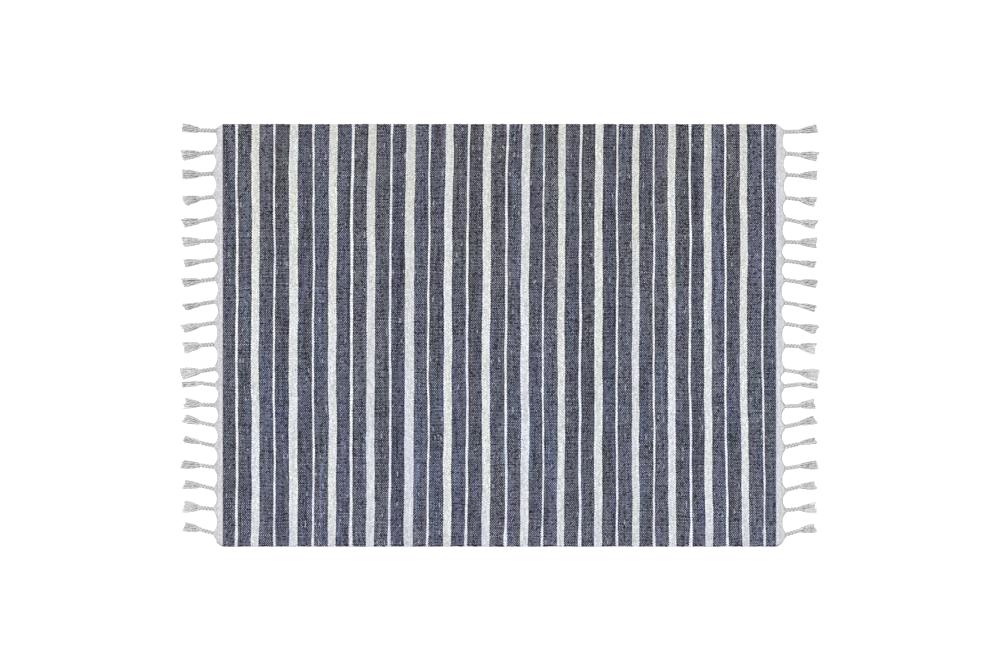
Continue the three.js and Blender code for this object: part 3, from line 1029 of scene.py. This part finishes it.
def fringe_piece(name, side, material):
    """Every tassel of one end, each a plait of three strands that opens into loose yarns."""
    own = np.random.default_rng(200 + side)
    points, quads, triangles, along, shade = [], [], [], [], []
    total = 0
    for k, root in enumerate(tassel_roots(side)):
        tassel_points = []
        for line, radius in tassel_yarns(side, k, root, own):
            yarn_number = len(quads)
            made = tube(line, radius)
            four, three = tube_faces(len(line), total)
            tassel_points.append(made)
            quads.append(four)
            triangles.append(three)
            run = np.concatenate([[0], np.cumsum(np.linalg.norm(np.diff(line, axis=0), axis=1))])
            angle = np.abs(np.arange(YARN_SIDES) / YARN_SIDES - 0.5) * 2
            rows = np.stack(np.broadcast_arrays(run[:, None], angle, float(yarn_number)), -1)
            along += [rows.reshape(-1, 3), [(0, 0, yarn_number), (run[-1], 0, yarn_number)]]
            total += len(made)
        made = np.concatenate(tassel_points)
        points.append(made)
        # painted shade for each point, weaker in the plait
        loosened = smoothstep(np.abs(made[:, 0]) - HALF_LENGTH, LOOSE_FROM - 2, LOOSE_FROM + 12)
        shade.append(painted_shade_depth(made) * lerp(PAINTED_SHADE_IN_PLAIT, 1, loosened))
    faces = [np.concatenate(quads), np.concatenate(triangles)]
    piece = new_object(name, np.concatenate(points), faces, material)
    set_attribute(piece, "yarn", "POINT", np.concatenate(along))
    shade = np.concatenate(shade)
    set_attribute(piece, "shade", "POINT", np.stack([shade, 0 * shade, 0 * shade], -1))
    return piece


# The rug.
striped = striped_material()
plain = band_material()
undyed = yarn_material()

split_at = int(LAYOUT["picks"][np.argmin(np.abs(LAYOUT["picks"] - TOTAL_PICKS / 2))])
left_cloth = cloth_piece("striped_cloth_left", 0, split_at, striped)
right_cloth = cloth_piece("striped_cloth_right", split_at, TOTAL_PICKS, striped)
left_band = band_piece("plain_band_left", -1, plain)
right_band = band_piece("plain_band_right", 1, plain)
left_tassels = fringe_piece("tassels_left", -1, undyed)
right_tassels = fringe_piece("tassels_right", 1, undyed)

for piece, slot in (
    (left_cloth, "striped_weave"),
    (right_cloth, "striped_weave"),
    (left_band, "undyed_yarn"),
    (right_band, "undyed_yarn"),
    (left_tassels, "undyed_yarn"),
    (right_tassels, "undyed_yarn"),
):
    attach(piece, "root")
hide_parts("striped_cloth")
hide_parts("striped_cloth")
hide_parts("left_fringe")
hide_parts("left_fringe")
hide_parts("right_fringe")
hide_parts("right_fringe")


# The floor, the light and the camera.
FLOOR_COLOUR = (0.97, 0.97, 0.97, 1)
FLOOR_HALF = 14000
FLOOR_Z = -0.4
SKY_STRENGTH = 0.72
SUN_ENERGY = 2.2
SUN_WIDTH = 22  # degrees, as are its tilts round X, Y and Z
SUN_TILT = (-22, -26, 0)

floor_finish = {"Base Color": FLOOR_COLOUR, "Roughness": 0.9, "Specular IOR Level": 0.1}
floor = new_object(
    "floor",
    np.array([(x * FLOOR_HALF, y * FLOOR_HALF, FLOOR_Z) for x, y in ((-1, -1), (1, -1), (1, 1), (-1, 1))]),
    [np.array([[0, 1, 2, 3]])],
    Graph("pale_floor").finish(floor_finish),
    smooth=False,
)

scene = bpy.context.scene
world = bpy.data.worlds.new("studio")
world.use_nodes = True
sky = world.node_tree.nodes["Background"].inputs
sky["Color"].default_value = (1, 1, 1, 1)
sky["Strength"].default_value = SKY_STRENGTH
scene.world = world

key = add_object("key_light", bpy.data.lights.new("key_light", "SUN"))
key.data.energy = SUN_ENERGY
key.data.angle = math.radians(SUN_WIDTH)
key.rotation_euler = [math.radians(tilt) for tilt in SUN_TILT]

scene.view_settings.view_transform = "Standard"
# a stitch is about a pixel wide, and the denoiser takes it for noise unless it reads the colours unfiltered
scene.cycles.denoising_prefilter = "NONE"

# The photo looks straight down.
FRAME_PIXELS = (1000, 667)
PIXEL = 2.84  # what one spans on the rug
RUG_MIDDLE_PIXEL = (499.5, 335.2)
LENS = 85
SENSOR_WIDTH = 36
camera = add_object("camera", bpy.data.cameras.new("camera"))
camera.data.lens = LENS
camera.data.sensor_width = SENSOR_WIDTH
camera.location = (
    (FRAME_PIXELS[0] / 2 - RUG_MIDDLE_PIXEL[0]) * PIXEL * MM,
    (RUG_MIDDLE_PIXEL[1] - FRAME_PIXELS[1] / 2) * PIXEL * MM,
    (THICKNESS + FRAME_PIXELS[0] * PIXEL * LENS / SENSOR_WIDTH) * MM,
)
camera.data.clip_end = 100
scene.camera = camera
